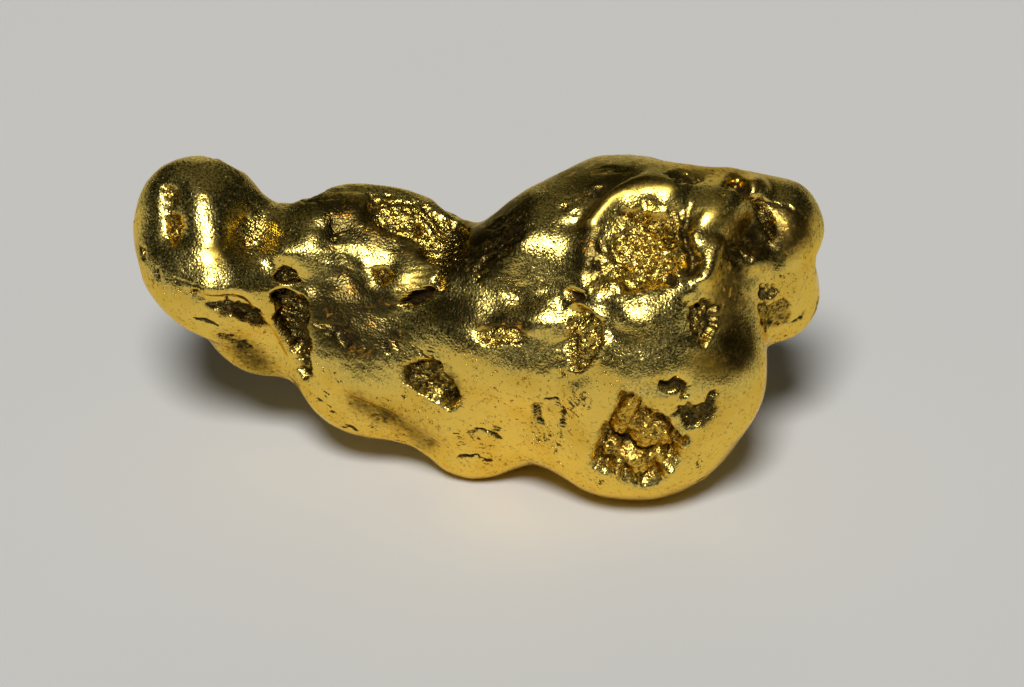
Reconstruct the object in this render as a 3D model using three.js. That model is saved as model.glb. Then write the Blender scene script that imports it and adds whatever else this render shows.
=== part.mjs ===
// A gold nugget, worn round by a river: one solid of native gold, in millimetres, +Z up.
//
// The nugget is a chain of lobes that runs along X: a heavy boulder at +X, a saddle, a middle lump and an arm
// that ends in a knob at -X. The boulder's belly, a toe under the saddle and a heel at the back are worn flat at
// z = 0, and the nugget stands on those three. The origin is on that plane, under the middle of its box.
//
// The shape is one skin: a fine ball is wrapped round the chain, and then relaxed until its faces are even.
import * as THREE from "three";
import { mergeVertices } from "three/addons/utils/BufferGeometryUtils.js";

const SKIN_DETAIL = 17; // the ball has 20 * (SKIN_DETAIL + 1)^2 faces
const RELAX_ROUNDS = 90; // how often each point of the skin moves to the middle of its neighbours
const RELAX_HOLD = 0.3; // how much of its old place a point keeps in each round
const REACH = 16; // no point of the skin is further than this from the chain's core
const NEAR_ENOUGH = 1e-3; // how closely the first wrapping finds the skin
const CAP_START = 0.75; // where the ball's two caps begin, as a share of its radius
const CAP_FAN = 4; // how widely the caps fan out
const SLIDE_STEPS = 6; // how many steps bring a point onto the skin
const ON_SKIN = 1e-5; // how close to the skin counts as on it
const LEAST_SLOPE = 0.2; // the least slope squared that a step divides by
const SAME_POINT = 1e-5; // how close two points of the ball are when they are one
const GOLD = { color: 0xd9a531, roughness: 0.28, metalness: 1 };
const ORIGIN_SHIFT = new THREE.Vector3(0.05, -0.5, 0);

// The core of the chain, from the knob to the boulder. The skin is wrapped outwards from it.
const CORE = [
  [-13.7, 4.0, 11.4],
  [-9.8, 3.0, 9.4],
  [-5, 1.6, 8.6],
  [0, 0.6, 6.8],
  [5, 0.2, 7.6],
  [10, 0.4, 9.2],
  [13.8, 1.4, 11.4],
];

// A lobe is an ellipsoid: its centre, its half-lengths, how far it leans about +Y in degrees, and how softly it
// runs into the lobes before it.
const LOBES = [
  // the boulder
  { at: [7.9, -0.9, 4.55], half: [5.4, 5.0, 4.72], lean: 0, blend: 1 },
  { at: [8.1, 0.2, 8.5], half: [6.1, 6.6, 7.4], lean: 0, blend: 2 },
  { at: [9.2, 1.7, 12.1], half: [6.0, 4.6, 4.3], lean: 0, blend: 2.6 },
  { at: [6.6, 3.4, 14.2], half: [2.5, 2.4, 1.7], lean: 0, blend: 1.2 },
  { at: [3.6, 1.0, 13.1], half: [2.4, 2.8, 2.4], lean: 0, blend: 2 },
  { at: [3.6, -2.7, 11.0], half: [1.6, 1.6, 1.6], lean: 0, blend: 1.2 },
  { at: [12.9, 2.5, 13.8], half: [2.2, 2.0, 1.9], lean: 0, blend: 1.2 },
  { at: [15.3, 2.4, 13.2], half: [1.9, 2.7, 2.0], lean: 0, blend: 1.4 },
  { at: [15.0, 2.2, 10.0], half: [2.1, 2.8, 3.2], lean: 0, blend: 1.2 },
  { at: [11.9, -2.6, 7.3], half: [2.4, 3.0, 3.2], lean: 0, blend: 1.6 },
  { at: [2.4, -2.3, 8.7], half: [3.2, 2.2, 2.2], lean: 0, blend: 1.4 },
  // the saddle and its toe
  { at: [0.2, 0.6, 6.9], half: [4.7, 4.2, 6.2], lean: 0, blend: 3 },
  { at: [-0.1, 0.4, 1.7], half: [2.1, 1.8, 1.8], lean: 0, blend: 2 },
  // the middle lump
  { at: [-6.0, 3.2, 10.7], half: [4.2, 3.4, 3.9], lean: 0, blend: 2 },
  { at: [-3.4, 3.2, 11.2], half: [2.8, 2.6, 2.6], lean: 0, blend: 1.5 },
  { at: [-4.9, 1.4, 6.3], half: [4.5, 3.4, 4.7], lean: 0, blend: 2 },
  // the arm and its knob
  { at: [-10.3, 3.1, 9.2], half: [3.8, 2.8, 3.6], lean: 0, blend: 2 },
  { at: [-13.9, 4.4, 12.1], half: [3.4, 3.0, 3.5], lean: 0, blend: 1.6 },
  { at: [-13.3, 1.6, 10.4], half: [2.6, 2.4, 2.4], lean: 0, blend: 2 },
  { at: [-13.3, 2.7, 9.4], half: [4.0, 2.8, 2.0], lean: 36, blend: 1.2 },
  { at: [-11.0, 3.6, 6.0], half: [2.9, 2.4, 1.8], lean: 25, blend: 1 },
  // the back
  { at: [1.2, 3.2, 9.0], half: [2.6, 2.4, 2.6], lean: 0, blend: 2.5 },
  { at: [3.9, 4.2, 3.0], half: [3.4, 2.9, 3.25], lean: 0, blend: 2.6 },
  { at: [9.2, 3.4, 8.4], half: [5.0, 3.5, 5.2], lean: 0, blend: 2 },
  { at: [11.6, 4.3, 11.6], half: [2.2, 2.2, 2.4], lean: 0, blend: 1.2 },
  { at: [6.2, 5.0, 10.4], half: [2.6, 2.1, 2.4], lean: 0, blend: 1.2 },
  { at: [9.8, 4.9, 5.0], half: [2.8, 2.2, 2.6], lean: 0, blend: 1.4 },
  { at: [-3.0, 4.2, 8.4], half: [3.4, 2.4, 3.0], lean: 0, blend: 1.8 },
  { at: [-6.8, 4.3, 6.6], half: [2.2, 2.1, 2.1], lean: 0, blend: 1.4 },
];

// The same ellipsoid with its turn worked out once.
function prepared({ at, half, lean, blend }) {
  return {
    centre: new THREE.Vector3(...at),
    half: new THREE.Vector3(...half),
    unturn: new THREE.Matrix4().makeRotationY(THREE.MathUtils.degToRad(-lean)),
    blend,
  };
}

const lobes = LOBES.map(prepared);
const local = new THREE.Vector3();

// Roughly how far a point is from an ellipsoid's surface, negative inside it.
function fromEllipsoid(point, { centre, half, unturn }) {
  local.copy(point).sub(centre).applyMatrix4(unturn).divide(half);
  const share = local.length();
  const slope = local.divide(half).length();
  return share < 1e-6 ? -Math.min(half.x, half.y, half.z) : (share * (share - 1)) / slope;
}

// The smaller of two distances, rounded off over the width `blend` where they are close.
function softMin(a, b, blend) {
  const close = Math.max(blend - Math.abs(a - b), 0) / blend;
  return Math.min(a, b) - close * close * blend * 0.25;
}

// How far a point is from the nugget's surface, negative inside. The ground plane cuts the feet flat.
function fromSkin(point) {
  let distance = Infinity;
  for (const lobe of lobes) {
    const next = fromEllipsoid(point, lobe);
    distance = distance === Infinity ? next : softMin(distance, next, lobe.blend);
  }
  return Math.max(distance, -point.z);
}

const STEP = 0.01;
const probe = new THREE.Vector3();

// The direction in which the distance from the skin grows fastest.
function slopeAt(point, out) {
  for (const axis of ["x", "y", "z"]) {
    probe.copy(point)[axis] += STEP;
    const ahead = fromSkin(probe);
    probe[axis] -= 2 * STEP;
    out[axis] = (ahead - fromSkin(probe)) / (2 * STEP);
  }
  return out;
}

const slope = new THREE.Vector3();

// Slides a point along the slope until it lies on the skin.
function putOnSkin(point) {
  for (let i = 0; i < SLIDE_STEPS; i++) {
    const distance = fromSkin(point);
    if (Math.abs(distance) < ON_SKIN) break;
    slopeAt(point, slope);
    point.addScaledVector(slope, -distance / Math.max(slope.lengthSq(), LEAST_SLOPE));
  }
  return point;
}

// Where a point of the unit ball goes first: out from the core until the skin is reached. The ball's X runs along
// the core, and its two caps fan out from the core's ends.
function wrapped(onBall, core) {
  const start = core.getPoint(THREE.MathUtils.clamp(onBall.x / (2 * CAP_START) + 0.5, 0, 1));
  const inner = Math.min(Math.abs(onBall.x), CAP_START) * Math.sign(onBall.x);
  const out = new THREE.Vector3((onBall.x - inner) * CAP_FAN, onBall.y, onBall.z).normalize();
  let near = 0;
  let far = REACH;
  while (far - near > NEAR_ENOUGH) {
    const middle = (near + far) / 2;
    if (fromSkin(probe.copy(start).addScaledVector(out, middle)) < 0) near = middle;
    else far = middle;
  }
  return start.addScaledVector(out, near);
}

// For each point of an indexed geometry, the set of points that share an edge with it.
function neighboursOf(geometry) {
  const found = Array.from({ length: geometry.attributes.position.count }, () => new Set());
  const corners = geometry.index.array;
  for (let i = 0; i < corners.length; i += 3) {
    for (let k = 0; k < 3; k++) {
      found[corners[i + k]].add(corners[i + ((k + 1) % 3)]).add(corners[i + ((k + 2) % 3)]);
    }
  }
  return found;
}

function nuggetGeometry() {
  const core = new THREE.CatmullRomCurve3(CORE.map((p) => new THREE.Vector3(...p)));
  const ball = new THREE.IcosahedronGeometry(1, SKIN_DETAIL);
  ball.deleteAttribute("normal");
  ball.deleteAttribute("uv");
  const skin = mergeVertices(ball, SAME_POINT);
  const place = skin.attributes.position;
  let points = Array.from({ length: place.count }, (_, i) =>
    wrapped(new THREE.Vector3().fromBufferAttribute(place, i), core),
  );
  const neighbours = neighboursOf(skin);
  for (let round = 0; round < RELAX_ROUNDS; round++) {
    points = points.map((point, i) => {
      const middle = new THREE.Vector3();
      for (const j of neighbours[i]) middle.add(points[j]);
      return putOnSkin(middle.divideScalar(neighbours[i].size).lerp(point, RELAX_HOLD));
    });
  }
  points.forEach((point, i) => place.setXYZ(i, point.x, point.y, point.z));
  skin.translate(ORIGIN_SHIFT.x, ORIGIN_SHIFT.y, ORIGIN_SHIFT.z);
  skin.computeVertexNormals();
  return skin;
}

const nugget = new THREE.Group();
const gold = new THREE.Mesh(nuggetGeometry(), new THREE.MeshStandardMaterial(GOLD));
gold.name = "gold_nugget";
nugget.add(gold);

export default nugget;
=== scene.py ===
"""A river-worn gold nugget: its skin, its gold, and a plain studio to see it in.

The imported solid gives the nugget's mass and its feet. Its skin is a fine copy of that solid, worked over by
marks: swells, ridges, folds, pits and cracks, each placed on one side of the nugget. The marks also leave
traits on the skin, such as grain or grime, which the gold's material reads.

Sizes in the marks and in the skin are in millimetres. Everything that Blender is given is in metres.
"""
import logging
import math
from dataclasses import dataclass, field, replace
from enum import Enum
from random import Random
from typing import Any, Union

import bmesh
import bpy
import numpy as np
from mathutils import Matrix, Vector, noise


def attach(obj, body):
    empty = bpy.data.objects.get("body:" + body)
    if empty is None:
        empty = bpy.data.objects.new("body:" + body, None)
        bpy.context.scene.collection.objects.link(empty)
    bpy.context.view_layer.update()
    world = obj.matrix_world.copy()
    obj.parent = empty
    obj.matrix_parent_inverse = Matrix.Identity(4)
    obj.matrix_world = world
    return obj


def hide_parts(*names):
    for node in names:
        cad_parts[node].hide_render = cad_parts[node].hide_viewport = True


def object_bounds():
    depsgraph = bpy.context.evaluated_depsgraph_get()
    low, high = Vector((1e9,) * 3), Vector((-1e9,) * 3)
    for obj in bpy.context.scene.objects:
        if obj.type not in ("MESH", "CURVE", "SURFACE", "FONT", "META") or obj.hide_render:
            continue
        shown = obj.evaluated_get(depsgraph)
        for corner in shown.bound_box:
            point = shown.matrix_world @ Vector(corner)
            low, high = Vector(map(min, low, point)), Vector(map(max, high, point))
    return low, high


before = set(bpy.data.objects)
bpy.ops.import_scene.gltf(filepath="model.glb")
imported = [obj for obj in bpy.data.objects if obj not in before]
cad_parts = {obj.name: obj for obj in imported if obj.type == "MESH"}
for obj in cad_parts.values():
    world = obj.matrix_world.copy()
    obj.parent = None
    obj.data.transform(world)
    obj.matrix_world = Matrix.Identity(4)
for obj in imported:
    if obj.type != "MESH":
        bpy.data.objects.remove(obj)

LOG = logging.getLogger("nugget")
Array = np.ndarray
Pair = tuple[float, float]
Path = tuple[Pair, ...]
Colour = tuple[float, float, float]
MM = 0.001
TINY = 1e-12  # stands in for zero where something is divided by it
CAD_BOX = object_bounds()


# ---------------------------------------------------------------------------- small maths


def ease(low: float, high: float, value: Array) -> Array:
    """A smooth step from 0 at `low` to 1 at `high`.

    Args:
        low: where the step starts. It may be above `high`, and then the step falls.
        high: where the step ends.
        value: the numbers to ease.

    Returns:
        One number from 0 to 1 for each value.
    """
    share = np.clip((value - low) / (high - low), 0.0, 1.0)
    return share * share * (3.0 - 2.0 * share)


RIPPLE_SHIFT = np.array([17.3, 5.1, 9.7])  # how far apart the noises of two seeds lie
RIPPLE_GAIN = 1.6  # brings the noise up to about -1 to 1
LUMP_SHIFT = np.array([3.1, 11.9, 7.7])


def ripple(points: Array, size: float, seed: int) -> Array:
    """Smooth noise from about -1 to 1 at each point.

    Args:
        points: places in mm.
        size: how far apart the noise's rises are, in mm.
        seed: a different whole number gives different noise.

    Returns:
        One number for each point.
    """
    shifted = points / size + RIPPLE_SHIFT * seed
    return np.array([noise.noise(place) for place in shifted.tolist()]) * RIPPLE_GAIN


def lumps(points: Array, size: float, seed: int) -> Array:
    """Rounded grains packed side by side: 1 at a grain's crown and near 0 in the seams between grains.

    Args:
        points: places in mm.
        size: how far apart the grains are, in mm.
        seed: a different whole number gives different grains.

    Returns:
        One number for each point.
    """
    shifted = points / size + LUMP_SHIFT * seed
    near = np.array([noise.voronoi(place)[0][:2] for place in shifted.tolist()])
    return ease(0.0, 0.5, near[:, 1] - near[:, 0]) * (1.0 - 0.6 * near[:, 0])


def crystals(points: Array) -> Array:
    """The uneven floor of a pit, from about -1 to 1: rounded blocks with finer and finer noise on them."""
    floor = 0.7 * (lumps(points, 0.55, 2) - 0.5)
    for height, size, seed in ((0.5, 0.42, 9), (0.35, 0.23, 10), (0.25, 0.14, 11)):
        floor = floor + height * ripple(points, size, seed)
    return floor


def rounded(path: Path, pieces: int = 6) -> Array:
    """A smooth curve through a few points, as a list of close points.

    Args:
        path: the points that the curve goes through.
        pieces: how many short stretches replace each stretch between two points.

    Returns:
        The curve's points, one row each.
    """
    knots = np.array([path[0], *path, path[-1]], float)
    curve = [knots[1]]
    for i in range(1, len(knots) - 2):
        before, start, end, after = knots[i - 1 : i + 3]
        for k in range(1, pieces + 1):
            t = k / pieces
            slope_in, slope_out = (end - before) / 2, (after - start) / 2
            curve.append(
                (2 * t**3 - 3 * t**2 + 1) * start
                + (t**3 - 2 * t**2 + t) * slope_in
                + (3 * t**2 - 2 * t**3) * end
                + (t**3 - t**2) * slope_out
            )
    return np.array(curve)


def from_curve(places: Array, curve: Array) -> tuple[Array, Array, Array]:
    """How each place lies beside a curve.

    Args:
        places: rows of two coordinates.
        curve: the curve's close points.

    Returns:
        The distance from the curve, the share of the curve's length at the nearest point, and the side: 1 on
        the left of the curve's direction and -1 on its right.
    """
    start, end = curve[:-1], curve[1:]
    stretch = end - start
    length = np.maximum(np.hypot(stretch[:, 0], stretch[:, 1]), 1e-9)
    offset = places[:, None, :] - start[None, :, :]
    along = np.clip((offset * stretch).sum(2) / length**2, 0.0, 1.0)
    gap = offset - along[..., None] * stretch
    distance = np.hypot(gap[..., 0], gap[..., 1])
    nearest = distance.argmin(1)
    rows = np.arange(len(places))
    cross = stretch[nearest, 0] * offset[rows, nearest, 1] - stretch[nearest, 1] * offset[rows, nearest, 0]
    run = np.concatenate([[0.0], np.cumsum(length)])
    share = (run[nearest] + along[rows, nearest] * length[nearest]) / run[-1]
    return distance[rows, nearest], share, np.where(cross >= 0.0, 1.0, -1.0)


def inside_outline(places: Array, outline: Array) -> Array:
    """True for each place that a closed outline holds.

    Args:
        places: rows of two coordinates.
        outline: the outline's points, the last one joined to the first.

    Returns:
        One truth value for each place.
    """
    held = np.zeros(len(places), bool)
    for a, b in zip(outline, np.roll(outline, -1, axis=0)):
        spans = (a[1] > places[:, 1]) != (b[1] > places[:, 1])
        rise = b[1] - a[1] if abs(b[1] - a[1]) > TINY else TINY
        held ^= spans & (places[:, 0] < a[0] + (places[:, 1] - a[1]) * (b[0] - a[0]) / rise)
    return held


# ---------------------------------------------------------------------------- sides and skin


@dataclass(frozen=True)
class Sight:
    """One side of the nugget, seen from a distance. Places on it are mm across and mm up from its middle."""

    azimuth: float
    elevation: float
    middle: tuple[float, float, float] = (0.0, 0.0, 8.0)
    away: float = 256.0

    def axes(self) -> tuple[Array, Array, Array]:
        """The unit vectors across to the right, up, and back towards the viewer."""
        turn, lift = math.radians(self.azimuth), math.radians(self.elevation)
        back = np.array([math.sin(turn) * math.cos(lift), -math.cos(turn) * math.cos(lift), math.sin(lift)])
        right = np.array([math.cos(turn), math.sin(turn), 0.0])
        return right, np.cross(back, right), back

    def spread(self, points: Array) -> Array:
        """Where points of the nugget, in mm, appear on this side: rows of mm across and mm up."""
        right, up, back = self.axes()
        offset = points - np.array(self.middle)
        nearer = self.away / (self.away - offset @ back)
        return np.stack([offset @ right * nearer, offset @ up * nearer], 1)

    def facing(self, normals: Array) -> Array:
        """How squarely each normal faces the viewer, from -1 to 1."""
        return normals @ self.axes()[2]


class Side(Enum):
    """The sides on which marks are placed."""

    FRONT = Sight(0.0, 30.0, (1.85, -0.5, 7.6))
    BACK = Sight(180.0, 20.0)
    LEFT = Sight(-90.0, 0.0)
    RIGHT = Sight(90.0, 0.0)
    TOP = Sight(0.0, 90.0)


class Trait(Enum):
    """What a point of the skin can be like, from 0 upwards. The value is the mesh attribute's name."""

    GRAIN = "grain"  # crystalline and sparkling, as pits are inside
    GRIME = "grime"  # brown-black dirt
    BOUNCE_AMBER = "bounce_amber"  # painted light: deep red-gold, where light goes from wall to wall
    PAINTED_SHADE = "painted_shade"  # painted shade: a dark colour that stands in for shade and dark reflections
    RUB = "rub"  # burnished smooth
    CRINKLE_AND_TOP_TINT = "crinkle_and_top_tint"  # finely crinkled, on skin that faces up; the material also paints it a paler tint, as painted light
    CAVITY = "cavity"  # how deep a point lies below its surroundings
    SEAM = "seam"  # how deep it lies below the points right beside it
    CREST = "crest"  # how far it stands above its surroundings


PUSH_IN, PUSH_OUT = 0.55, 0.57  # the shares of the way to its neighbours that relaxing moves a point
FEET_END, FREE_FROM = 0.05, 0.9  # the heights in mm over which the feet give way to skin that can be lifted


@dataclass
class Skin:
    """The nugget's surface as arrays, in mm, and the traits of its points."""

    points: Array
    faces: Array
    traits: dict[Trait, Array] = field(init=False)
    normals: Array = field(init=False)
    ends: Array = field(init=False)

    def __post_init__(self) -> None:
        """Finds the edges and the normals, and starts every trait at zero."""
        loops = np.concatenate([self.faces[:, [0, 1]], self.faces[:, [1, 2]], self.faces[:, [2, 0]]])
        self.ends = np.unique(np.sort(loops, axis=1), axis=0)
        self.traits = {trait: np.zeros(len(self.points)) for trait in Trait}
        self.refresh()

    def refresh(self) -> None:
        """Works the normals out again from the points."""
        a, b, c = (self.points[self.faces[:, k]] for k in range(3))
        flat = np.cross(b - a, c - a)
        total = np.zeros_like(self.points)
        for k in range(3):
            for axis in range(3):
                total[:, axis] += np.bincount(self.faces[:, k], flat[:, axis], len(self.points))
        self.normals = total / np.maximum(np.linalg.norm(total, axis=1, keepdims=True), TINY)

    def average(self, rows: Array) -> Array:
        """The mean of each point's neighbours, for one row of values a point."""
        count = np.bincount(self.ends.ravel(), minlength=len(self.points))
        mean = np.empty_like(rows)
        for k in range(rows.shape[1]):
            both = np.bincount(self.ends[:, 0], rows[self.ends[:, 1], k], len(self.points))
            both += np.bincount(self.ends[:, 1], rows[self.ends[:, 0], k], len(self.points))
            mean[:, k] = both / count
        return mean

    def below(self, rounds: int) -> Array:
        """How many mm each point lies below its surroundings, which grow wider with the rounds."""
        around = self.points
        for _ in range(rounds):
            around = 0.5 * around + 0.5 * self.average(around)
        return ((around - self.points) * self.normals).sum(1)

    def relax(self, rounds: int) -> None:
        """Takes facets and folds out without shrinking the skin, by a push in and a push out in turn."""
        for _ in range(rounds):
            self.points = self.points + PUSH_IN * (self.average(self.points) - self.points)
            self.points = self.points - PUSH_OUT * (self.average(self.points) - self.points)
        self.refresh()

    def lift(self, height: Array) -> None:
        """Moves every point along its normal by so many mm. The feet stay as they are."""
        free = ease(FEET_END, FREE_FROM, self.points[:, 2])
        self.points = self.points + self.normals * (height * free)[:, None]
        self.refresh()

    def leave(self, trait: Trait, amount: Array, index: Union[Array, slice] = slice(None)) -> None:
        """Raises a trait to at least the given amount, at every point or at those of an index."""
        self.traits[trait][index] = np.maximum(self.traits[trait][index], amount)


# ---------------------------------------------------------------------------- marks


GRAZING, SQUARE = 0.02, 0.3  # a mark sets in between these, as the skin turns to face its side
FRONT_STARTS, FRONT_ENDS = 0.36, 0.06  # and one on another side ends as the skin turns to face the front
LEFT_BY_MARKS = (Trait.GRAIN, Trait.GRIME, Trait.BOUNCE_AMBER, Trait.PAINTED_SHADE, Trait.RUB)


@dataclass(frozen=True)
class Near:
    """The points of the skin that a mark can reach, and how fully it works on each."""

    index: Array
    points: Array
    places: Array
    fade: Array


@dataclass(frozen=True, kw_only=True)
class Mark:
    """Something that shapes the skin in one spot, and how much of each trait it leaves there."""

    side: Union[Side, Sight] = Side.FRONT
    grain: float = 0.0
    grime: float = 0.0
    bounce_amber: float = 0.0
    painted_shade: float = 0.0
    rub: float = 0.0

    def span(self) -> tuple[Path, float]:
        """The places that the mark goes through, and how far it reaches from them. Each kind says its own."""
        raise NotImplementedError

    def shape(self, near: Near) -> tuple[Array, Array]:
        """How far the mark lifts each point, and how much of its traits it leaves there."""
        raise NotImplementedError

    def near(self, skin: Skin) -> Near:
        """Finds the points that the mark can reach.

        Args:
            skin: the skin to look on.

        Returns:
            Those points, their places on the mark's side, and how fully each faces that side. A mark that is
            not on the front also fades out where the front begins.
        """
        sight = self.side.value if isinstance(self.side, Side) else self.side
        places, facing = sight.spread(skin.points), sight.facing(skin.normals)
        through, edge = self.span()
        low, high = np.min(through, 0) - edge, np.max(through, 0) + edge
        index = np.flatnonzero((places >= low).all(1) & (places <= high).all(1) & (facing > GRAZING))
        fade = ease(GRAZING, SQUARE, facing[index])
        if self.side is not Side.FRONT:
            fade = fade * ease(FRONT_STARTS, FRONT_ENDS, Side.FRONT.value.facing(skin.normals[index]))
        return Near(index, skin.points[index], places[index], fade)

    def press(self, skin: Skin, height: Array) -> None:
        """Adds this mark's lift to `height` and its traits to the skin."""
        near = self.near(skin)
        if not len(near.index):
            return
        lift, share = self.shape(near)
        height[near.index] += lift * near.fade
        for trait in LEFT_BY_MARKS:
            amount = getattr(self, trait.value)
            if amount:
                skin.leave(trait, share * near.fade * amount, near.index)


@dataclass(frozen=True)
class Swell(Mark):
    """A rounded rise, a dent where `rise` is below zero, or only a spot of traits where it is zero."""

    at: Pair
    half: Pair
    rise: float = 0.0
    turn: float = 0.0
    power: float = 2.0

    def span(self) -> tuple[Path, float]:
        """The swell's middle and its longer half-length."""
        return (self.at,), max(self.half)

    def shape(self, near: Near) -> tuple[Array, Array]:
        """A dome over an ellipse."""
        c, s = math.cos(math.radians(self.turn)), math.sin(math.radians(self.turn))
        x, y = (near.places - np.array(self.at)).T
        round_off = ((x * c + y * s) / self.half[0]) ** 2 + ((y * c - x * s) / self.half[1]) ** 2
        dome = np.clip(1.0 - round_off, 0.0, 1.0) ** self.power
        return self.rise * dome, dome


@dataclass(frozen=True)
class Ridge(Mark):
    """A rounded ridge along a curve, a groove where `rise` is below zero, or only a streak of traits."""

    path: Path
    width: float
    rise: float = 0.0
    taper: float = 0.25
    ragged: float = 0.0

    def span(self) -> tuple[Path, float]:
        """The curve, and how wide the bell is at its foot."""
        return self.path, 2.6 * self.width + 2.0 * self.ragged

    def shape(self, near: Near) -> tuple[Array, Array]:
        """A bell across the curve, which fades out at both ends."""
        distance, share, _ = from_curve(near.places, rounded(self.path))
        if self.ragged:
            distance = np.abs(distance + self.ragged * ripple(near.points, 0.5, 3))
        ends = ease(0.0, self.taper, share + 0.02) * ease(0.0, self.taper, 1.02 - share)
        bell = np.exp(-((distance / self.width) ** 2)) * ends
        return self.rise * bell, bell


@dataclass(frozen=True)
class Step(Mark):
    """A fold where the skin on the left of a curve overhangs the skin on its right."""

    path: Path
    rise: float
    sharp: float = 0.12
    run: float = 1.2

    def span(self) -> tuple[Path, float]:
        """The curve, and how far off the skin slopes down to it."""
        return self.path, 2.5 * self.run

    def shape(self, near: Near) -> tuple[Array, Array]:
        """Half the rise up on the left and half of it down on the right, both easing away from the curve."""
        distance, share, side = from_curve(near.places, rounded(self.path))
        ends = ease(0.0, 0.2, share) * ease(0.0, 0.2, 1.0 - share)
        away = np.exp(-((distance / self.run) ** 2))
        cliff = np.tanh(side * distance / self.sharp)
        low_side = np.where(side < 0.0, np.exp(-((distance / (0.3 * self.run)) ** 2)), 0.0)
        return 0.5 * self.rise * cliff * away * ends, low_side * ends


@dataclass(frozen=True)
class Pit(Mark):
    """A hole with a rough floor, inside an outline. Its walls are steep in some places and soft in others."""

    outline: Path
    depth: float
    wall: float = 0.35
    lip: float = 0.0
    ragged: float = 0.1
    tilt: Pair = (0.0, 0.0)
    grains: float = 0.1
    grain: float = field(default=1.0, kw_only=True)

    def span(self) -> tuple[Path, float]:
        """The outline, and how far off its lip ends."""
        return self.outline, 3.0 * self.wall + 2.0 * self.ragged

    def depth_inside(self, near: Near) -> Array:
        """How far each point lies inside the ragged outline, in mm, below zero outside it."""
        curve = rounded((*self.outline, self.outline[0]))
        distance, _, _ = from_curve(near.places, curve)
        inner = np.where(inside_outline(near.places, curve), distance, -distance)
        return inner + self.ragged * (ripple(near.points, 0.9, 5) + 0.6 * ripple(near.points, 0.35, 6))

    def shape(self, near: Near) -> tuple[Array, Array]:
        """A wall down to a floor that may be tilted, covered in crystals, and a lip round the outside."""
        inner = self.depth_inside(near)
        wall = self.wall * (1.0 + 0.7 * ripple(near.points, 1.1, 8))
        floor = ease(-0.25 * wall, wall, inner)
        centre = np.array(self.outline).mean(0)
        slant = 1.0 + (near.places - centre) @ np.array(self.tilt)
        depth = self.depth * np.clip(slant, 0.15, 2.0)
        rim = np.exp(-((inner / (0.8 * self.wall)) ** 2)) * (inner < 0.0)
        return (self.grains * crystals(near.points) - depth) * floor + self.lip * rim, floor


@dataclass(frozen=True)
class Crack(Mark):
    """A thin dark line that wanders."""

    path: Path
    width: float = 0.07
    depth: float = 0.16
    wander: float = 0.05
    grime: float = field(default=1.0, kw_only=True)

    def span(self) -> tuple[Path, float]:
        """The line, and how far it wanders."""
        return self.path, 3.0 * self.width + 2.0 * self.wander

    def shape(self, near: Near) -> tuple[Array, Array]:
        """A narrow notch whose line is shifted by noise and whose width comes and goes."""
        drift = np.stack([ripple(near.points, 0.4, 21), ripple(near.points, 0.4, 22)], 1) * self.wander
        distance, share, _ = from_curve(near.places + drift, rounded(self.path))
        ends = ease(-0.02, 0.12, share) * ease(-0.02, 0.12, 1.0 - share)
        width = self.width * (0.8 + 0.4 * ripple(near.points, 0.3, 23))
        notch = np.exp(-((distance / np.maximum(width, 0.3 * self.width)) ** 2)) * ends
        return -self.depth * notch, np.minimum(1.8 * notch, 1.0)


def oval(at: Pair, half: Pair, turn: float = 0.0, count: int = 8) -> Path:
    """The outline of a pit that is an ellipse.

    Args:
        at: its middle.
        half: its half-lengths.
        turn: how far it is turned anticlockwise, in degrees.
        count: how many points it has.

    Returns:
        The outline's points.
    """
    c, s = math.cos(math.radians(turn)), math.sin(math.radians(turn))
    outline = []
    for k in range(count):
        x = half[0] * math.cos(math.tau * k / count)
        y = half[1] * math.sin(math.tau * k / count)
        outline.append((at[0] + x * c - y * s, at[1] + x * s + y * c))
    return tuple(outline)


Marks = tuple[Mark, ...]


def seen_from(side: Side, *marks: Mark) -> Marks:
    """Marks that are placed from another side than the front.

    Args:
        side: the side.
        marks: the marks, as they would be on the front.

    Returns:
        The same marks, on that side.
    """
    return tuple(replace(mark, side=side) for mark in marks)


# ---------------------------------------------------------------------------- the marks, by region


class Region:
    """A stretch of the nugget: its broad forms, and the details that are worked into a finer skin."""

    FORMS: Marks = ()
    DETAILS: Marks = ()


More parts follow.
